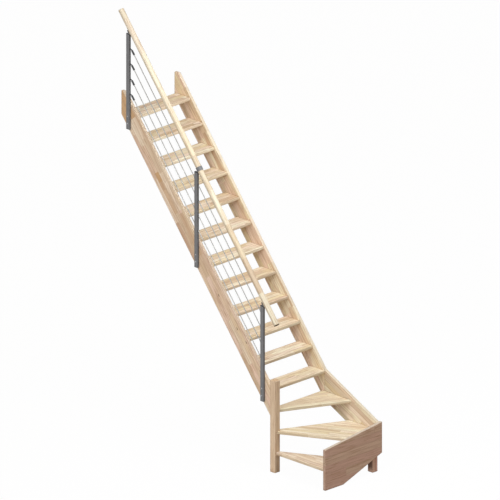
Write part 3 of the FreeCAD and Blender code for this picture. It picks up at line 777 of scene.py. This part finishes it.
def pan_head_screw(name, seat, outward, diameter, steel):
    """Screw head on a face: domed rim, hexagon recess, its axis along the face's outward side."""
    height = diameter * HEAD_HEIGHT
    recess = diameter * RECESS_RADIUS
    outlines = [(round_point, diameter / 2 * out, height * up) for out, up in HEAD_PROFILE]
    outlines += [(hexagon_point, recess, height), (hexagon_point, recess, height * RECESS_FLOOR)]
    turns = [2 * math.pi * side / HEAD_SIDES for side in range(HEAD_SIDES)]
    shape = bmesh.new()
    rings = [[shape.verts.new((*point(turn, radius), level)) for turn in turns]
             for point, radius, level in outlines]
    for outer, inner in zip(rings, rings[1:]):
        join_rings(shape, outer, inner)
    shape.faces.new(rings[-1])
    bmesh.ops.recalc_face_normals(shape, faces=shape.faces)
    mesh = bpy.data.meshes.new(name)
    shape.to_mesh(mesh)
    shape.free()
    item = bpy.data.objects.new(name, mesh)
    item.matrix_world = Matrix.Translation(seat) @ outward.to_track_quat("Z", "Y").to_matrix().to_4x4()
    bpy.context.scene.collection.objects.link(item)
    mesh.materials.append(steel)
    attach(item, "root")


def post_screws():
    """Two screws through each tube's outer face into the stringer, near the tube's foot."""
    steel = drawn_steel("screw_steel", SCREW_GREY, roughness=(0.28, 0.42))
    for post in POSTS:
        low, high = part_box(post)
        for number, height in enumerate(SCREW_HEIGHTS, start=1):
            seat = Vector((low.x, (low.y + high.y) / 2, low.z + height))
            pan_head_screw("%s_screw_%d" % (post, number), seat, -ACROSS_FLIGHT, SCREW_HEAD, steel)


# Stage: floor, light and camera
FLOOR_HALF = 30.0
FLOOR_BOUNCE = colour(0.45, 0.40, 0.35)
GLOW_SHARE = 0.975
SKY_WARMTH = colour(1.0, 0.84, 0.72)
SKY_STRENGTH = 0.19
LAMP_RADIUS = 0.5
SUN_DISTANCE = 5.0


def white_to_camera(w):
    """1 where a ray comes from the camera, a mirror reflection or glass, 0 for bounced light."""
    path = w.node("ShaderNodeLightPath").outputs
    seen = w.math("ADD", path["Is Camera Ray"], path["Is Glossy Ray"], clamp=True)
    return w.math("ADD", seen, path["Is Transmission Ray"], clamp=True)


def blended(w, factor, first, second):
    """One shader going over into another."""
    blend = w.node("ShaderNodeMixShader")
    for socket, value in zip(blend.inputs, (factor, first.outputs[0], second.outputs[0])):
        w.feed(socket, value)
    return blend.outputs[0]


def floor():
    """Pale floor that shows white to the camera and keeps the stair's shadow."""
    mesh = bpy.data.meshes.new("floor")
    corners = [(-FLOOR_HALF, -FLOOR_HALF, 0), (FLOOR_HALF, -FLOOR_HALF, 0),
               (FLOOR_HALF, FLOOR_HALF, 0), (-FLOOR_HALF, FLOOR_HALF, 0)]
    mesh.from_pydata(corners, [], [(0, 1, 2, 3)])
    item = bpy.data.objects.new("floor", mesh)
    bpy.context.scene.collection.objects.link(item)

    material = bpy.data.materials.new("floor_paper")
    material.use_nodes = True
    material.node_tree.nodes.clear()
    w = Wiring(material.node_tree)
    seen = white_to_camera(w)
    paper = w.node("ShaderNodeBsdfDiffuse", {"Color": w.mix(seen, FLOOR_BOUNCE, WHITE)})
    glow = w.node("ShaderNodeEmission", {"Color": WHITE, "Strength": 1.0})
    surface = blended(w, w.math("MULTIPLY", seen, GLOW_SHARE), paper, glow)
    w.node("ShaderNodeOutputMaterial", {"Surface": surface})
    mesh.materials.append(material)


def surroundings():
    """Dim warm light all round, white behind the stair."""
    world = bpy.data.worlds.new("daylight")
    bpy.context.scene.world = world
    world.use_nodes = True
    world.node_tree.nodes.clear()
    w = Wiring(world.node_tree)
    sky = w.node("ShaderNodeBackground", {"Color": SKY_WARMTH, "Strength": SKY_STRENGTH})
    white = w.node("ShaderNodeBackground", {"Color": WHITE, "Strength": 1.0})
    w.node("ShaderNodeOutputWorld", {"Surface": blended(w, white_to_camera(w), sky, white)})


def soft_sun(name, toward, strength, spread):
    """Broad soft light from a direction."""
    data = bpy.data.lights.new(name, "SUN")
    data.energy = strength
    data.angle = math.radians(spread)
    item = bpy.data.objects.new(name, data)
    item.rotation_mode = "QUATERNION"
    item.rotation_quaternion = Vector(toward).to_track_quat("Z", "Y")
    item.location = Vector(toward) * SUN_DISTANCE
    bpy.context.scene.collection.objects.link(item)


def ceiling_lamp(name, place, power):
    """Large soft lamp above the foot of the stair."""
    data = bpy.data.lights.new(name, "POINT")
    data.energy = power
    data.shadow_soft_size = LAMP_RADIUS
    item = bpy.data.objects.new(name, data)
    item.location = place
    bpy.context.scene.collection.objects.link(item)


def camera():
    """Parallel view of the left side from the foot of the stair, as pictured."""
    azimuth = math.radians(-45.0)
    elevation = math.radians(20.49)
    middle = Vector((0.300, 0.603, 1.786))
    width = 4.281
    distance = 9.0
    back = Vector((math.sin(azimuth) * math.cos(elevation), -math.cos(azimuth) * math.cos(elevation),
                   math.sin(elevation)))
    data = bpy.data.cameras.new("camera")
    data.type = "ORTHO"
    data.ortho_scale = width
    item = bpy.data.objects.new("camera", data)
    item.rotation_mode = "QUATERNION"
    item.rotation_quaternion = (-back).to_track_quat("-Z", "Y")
    item.location = middle + back * distance
    bpy.context.scene.collection.objects.link(item)
    bpy.context.scene.camera = item


tread_looks()
board_looks()
upright_looks()
rail_looks()
metal_looks()
post_screws()
floor()
surroundings()
soft_sun("side_light", toward=(-0.90, -0.10, 0.42), strength=1.90, spread=60.0)
soft_sun("back_light", toward=(0.70, 0.65, 0.30), strength=0.60, spread=60.0)
ceiling_lamp("ceiling_lamp_1", place=(0.0, -1.3, 4.6), power=315.0)
ceiling_lamp("ceiling_lamp_2", place=(1.5, -1.5, 4.6), power=90.0)
camera()
bpy.context.scene.view_settings.view_transform = "Standard"
